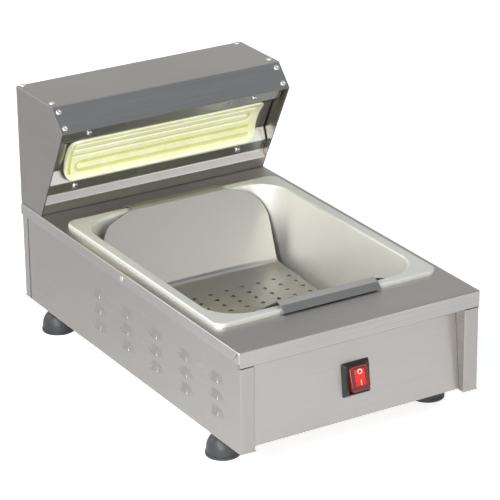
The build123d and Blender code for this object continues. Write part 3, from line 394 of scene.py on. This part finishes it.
def rounded_outline(half_width, half_height, corner, steps=8):
    """Points round a rectangle with rounded corners, in millimetres."""
    points = []
    for quarter, (sx, sy) in enumerate(((1, 1), (-1, 1), (-1, -1), (1, -1))):
        for step in range(steps + 1):
            angle = (quarter + step / steps) * pi / 2
            points.append((sx * (half_width - corner) + corner * cos(angle),
                           sy * (half_height - corner) + corner * sin(angle)))
    return points


print("one rounded outline has", len(rounded_outline(1, 1, 0)), "points")

# %% Model the rocker
def stacked_piece(name, layers):
    """A closed solid that rides on the rocker, through outlines one above the other. Each layer is
    half width, half height, corner radius, height out from the pivot and shift up, in millimetres."""
    shape = bmesh.new()
    rings = []
    for half_width, half_height, corner, out, up in layers:
        rings.append([shape.verts.new(on_face(x, y + up, out))
                      for x, y in rounded_outline(half_width, half_height, corner)])
    join_rings(shape, rings)
    shape.faces.new(rings[0][::-1])
    shape.faces.new(rings[-1])
    bmesh.ops.recalc_face_normals(shape, faces=shape.faces)
    piece = scene_object(name, shape)
    piece.data.shade_smooth()
    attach(piece, "rocker")
    return piece


face_shift = 2.1            # millimetres that the middle of the face lies above the pivot
rocker_cap = stacked_piece("rocker_cap", [
    (10.0, 13.0, 2.0, -2.0, 0.0),           # the foot, deep in the housing
    (10.3, 13.3, 2.8, 3.0, 0.0),
    (10.7, 13.0, 3.2, 5.2, 0.0),
    (10.8, 13.0, 3.3, 5.9, 0.1),            # level with the bezel at the end that is pressed in
    (11.2, 12.8, 3.6, 6.8, 1.4),            # the widest line of the skirt
    (10.6, 12.1, 3.4, 7.8, face_shift),
    (9.4, 11.0, 2.8, 8.1, face_shift),      # the crest round the face
    (6.8, 9.0, 1.6, 7.8, face_shift)])      # the shallow hollow that holds the lens
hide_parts("switch_rocker")
rocker_lens = stacked_piece("rocker_lens", [
    (6.0, 8.5, 1.6, 7.4, face_shift),
    (6.0, 8.5, 1.6, 8.3, face_shift),
    (5.6, 8.1, 1.4, 8.6, face_shift),
    (5.0, 7.5, 1.0, 8.7, face_shift)])
print("rocker cap has", len(rocker_cap.data.vertices), "points, its lens", len(rocker_lens.data.vertices))

# %% Print the marks
mark_height = 5.6           # millimetres from the middle of the face to the middle of each mark
mark_top = 8.75             # millimetres out from the pivot, a thin coat over the lens
mark_root = mark_top - 0.2  # the ink reaches into the lens, so that no gap shows
ring_outer, ring_inner = 2.6, 2.0
ring_points = 32
bar_half, bar_reach, bar_corner = 0.36, 2.7, 0.3
angles = [2 * pi * i / ring_points for i in range(ring_points)]
ring_shape = bmesh.new()
circles = []
for radius, out in ((ring_outer, mark_root), (ring_outer, mark_top),
                    (ring_inner, mark_top), (ring_inner, mark_root)):
    circles.append([ring_shape.verts.new(on_face(radius * cos(angle),
                                                 face_shift + mark_height + radius * sin(angle), out))
                    for angle in angles])
join_rings(ring_shape, circles + circles[:1])
bmesh.ops.recalc_face_normals(ring_shape, faces=ring_shape.faces)
off_mark = scene_object("off_mark", ring_shape)
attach(off_mark, "rocker")
on_mark = stacked_piece("on_mark", [
    (bar_half, bar_reach, bar_corner, mark_root, face_shift - mark_height),
    (bar_half, bar_reach, bar_corner, mark_top, face_shift - mark_height)])
print("marks printed", round(mark_top - mark_root, 2), "mm deep")

# %% Give the rocker its colours
polished_mould = (0.0015, 0.00002)      # metres: wider and shallower pits than a plain mould leaves
# Dyed polycarbonate from a polished mould: deep red in the thick skirt, with sharp highlights
skirt = moulded("polycarbonate_red_skirt", "#66100C", 0.2, *polished_mould)
# The same, thin over the lamp: a bright red with a faint glow of its own
lens = moulded("polycarbonate_red_lens", "#BE1408", 0.28, *polished_mould)
plain_values(lens.node_tree.nodes["Principled BSDF"], Emission_Color=linear("#FF2008"),
             Emission_Strength=0.1)
# Printing ink: flat white, without the gloss of the lens under it
mark_ink = moulded("printed_white_ink", "#F6F4F0", 0.5)
for piece, material in ((rocker_cap, skirt), (rocker_lens, lens), (off_mark, mark_ink),
                        (on_mark, mark_ink)):
    piece.data.materials.append(material)
print("rocker coloured")

# %% [markdown]
# ## The floor and the background
# The object stands on a plain white floor. The floor is matt paper, and to the camera it also shines a
# little, so that it ends up white all over and still keeps the object's soft shadow. What the steel
# mirrors is another matter: there the floor shines only near the object, so that the front and the
# folds reflect a bright floor that fades into the room.

# %% Lay the floor
floor_reach = 9.0           # metres from the middle to each edge
floor_shape = bmesh.new()
bmesh.ops.create_grid(floor_shape, x_segments=1, y_segments=1, size=floor_reach)
floor = scene_object("studio_floor", floor_shape)
floor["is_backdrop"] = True
print("floor is", 2 * floor_reach, "m wide")

# %% Make the floor's material
camera_glow = 0.62          # what the floor shines for the camera, on top of the light it scatters
mirror_glow = 0.34          # and for reflections, near the object
glow_middle = (0.15, -0.5, 0.0)
glow_reach = (0.3, 0.95)    # metres from there, over which the latter fades
# Matt paper: no highlight at all, only shadow
floor_material, floor_tree, floor_shader = new_material("studio_paper_white")
floor_tree.nodes.remove(floor_shader)
floor_end = floor_tree.nodes["Material Output"]
matt = add_node(floor_tree, "ShaderNodeBsdfDiffuse", Color=linear("#E8E8E8"))
ray = add_node(floor_tree, "ShaderNodeLightPath")
seen = add_node(floor_tree, "ShaderNodeMath", {"operation": "MAXIMUM"},
                n0=ray.outputs["Is Camera Ray"], n1=ray.outputs["Is Transmission Ray"])
white = add_node(floor_tree, "ShaderNodeEmission", Strength=camera_glow)
place = add_node(floor_tree, "ShaderNodeTexCoord").outputs["Object"]
distance = add_node(floor_tree, "ShaderNodeVectorMath", {"operation": "DISTANCE"}, n0=place,
                    n1=glow_middle)
fade = add_node(floor_tree, "ShaderNodeMapRange", {"interpolation_type": "SMOOTHSTEP"},
                Value=distance.outputs["Value"], From_Min=glow_reach[0], From_Max=glow_reach[1],
                To_Min=mirror_glow, To_Max=0.0)
sheen = add_node(floor_tree, "ShaderNodeMath", {"operation": "MULTIPLY"},
                 n0=ray.outputs["Is Glossy Ray"], n1=fade.outputs[0])
mirrored = add_node(floor_tree, "ShaderNodeEmission", Strength=sheen.outputs[0])
base = add_node(floor_tree, "ShaderNodeAddShader", n0=matt.outputs[0], n1=mirrored.outputs[0])
lit = add_node(floor_tree, "ShaderNodeAddShader", n0=matt.outputs[0], n1=white.outputs[0])
ground = add_node(floor_tree, "ShaderNodeMixShader", Fac=seen.outputs[0], n1=base.outputs[0],
                  n2=lit.outputs[0])
floor_tree.links.new(ground.outputs[0], floor_end.inputs["Surface"])
floor.data.materials.append(floor_material)
print("floor shines", camera_glow, "to the camera and", mirror_glow, "in reflections")

# %% [markdown]
# ## The light of the room
# Steel shows what it reflects, so the room matters more than the lamps. Here the world is a studio:
# white low down, then a warm pale grey, and a cool mid grey overhead. From the camera's height the
# deck mirrors the pale grey and the upright panels mirror the floor, so the deck comes out darker. The
# camera itself sees plain white behind the object.

# %% Light the room
world = bpy.data.worlds.new("studio")
bpy.context.scene.world = world
world.use_nodes = True
room = world.node_tree
room.nodes.clear()
direction = add_node(room, "ShaderNodeTexCoord").outputs["Generated"]
upward = add_node(room, "ShaderNodeSeparateXYZ", Vector=direction).outputs["Z"]
fall = add_node(room, "ShaderNodeValToRGB", Fac=upward)
ramp = fall.color_ramp
# Position 0 is level with the floor, and 1 is straight up
ramp.elements[0].position = 0.0
ramp.elements[0].color = linear("#FFFFFF")
ramp.elements[1].position = 1.0
ramp.elements[1].color = linear("#8C8F94")
for position, colour in ((0.12, "#F2F1EE"), (0.36, "#D4D1CD"), (0.6, "#8C959D")):
    ramp.elements.new(position).color = linear(colour)
path = add_node(room, "ShaderNodeLightPath")
show = add_node(room, "ShaderNodeMix", {"data_type": "RGBA"}, n0=path.outputs["Is Camera Ray"],
                n6=fall.outputs[0], n7=linear("#FFFFFF"))
backdrop = add_node(room, "ShaderNodeBackground", Color=show.outputs[2], Strength=1.0)
add_node(room, "ShaderNodeOutputWorld", Surface=backdrop.outputs[0])
print("room falls from white to grey in", len(ramp.elements), "steps")

# %% Hang the lamps
aim_point = Vector((0, 0, 0.1))     # a little above the floor, in the middle of the body


def hang_softbox(name, place, width, power):
    """A square softbox, its width in metres and its power in watts, turned to the object."""
    lamp = bpy.data.lights.new(name, "AREA")
    lamp.size = width
    lamp.energy = power
    holder = bpy.data.objects.new(name, lamp)
    holder.location = place
    holder.rotation_euler = (aim_point - Vector(place)).to_track_quat("-Z", "Y").to_euler()
    bpy.context.collection.objects.link(holder)
    print(name, "gives", power, "watts from", round((aim_point - Vector(place)).length, 2), "m away")


# High on the left, the main light: it lights the side and the pan, and glints on the louvres
hang_softbox("key_softbox", (-1.95, -1.05, 1.65), 1.1, 50.0)
# Low at the front left corner: it lights the front and lifts the shade under the deck's edge
hang_softbox("low_softbox", (-1.75, -2.0, 0.5), 0.9, 40.0)
# Wide and weak overhead: it fills the pan and the deck
hang_softbox("ceiling_softbox", (1.1, 0.5, 2.1), 1.8, 5.0)
# Weak from the front right: it opens the shade beside the switch and under the hood
hang_softbox("front_softbox", (1.6, -2.4, 0.9), 1.2, 6.8)
# Behind on the left: it edges the top of the hood
hang_softbox("rear_softbox", (-1.6, 1.6, 1.3), 0.9, 13.0)

# %% [markdown]
# ## The size of the result
# The box of the CAD model and the box of the dressed model are printed side by side.

# %% Measure and finish
dressed_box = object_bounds()
for kind, box in (("CAD", cad_box), ("dressed", dressed_box)):
    print(kind, "box", [round(c, 4) for corner in box for c in corner])
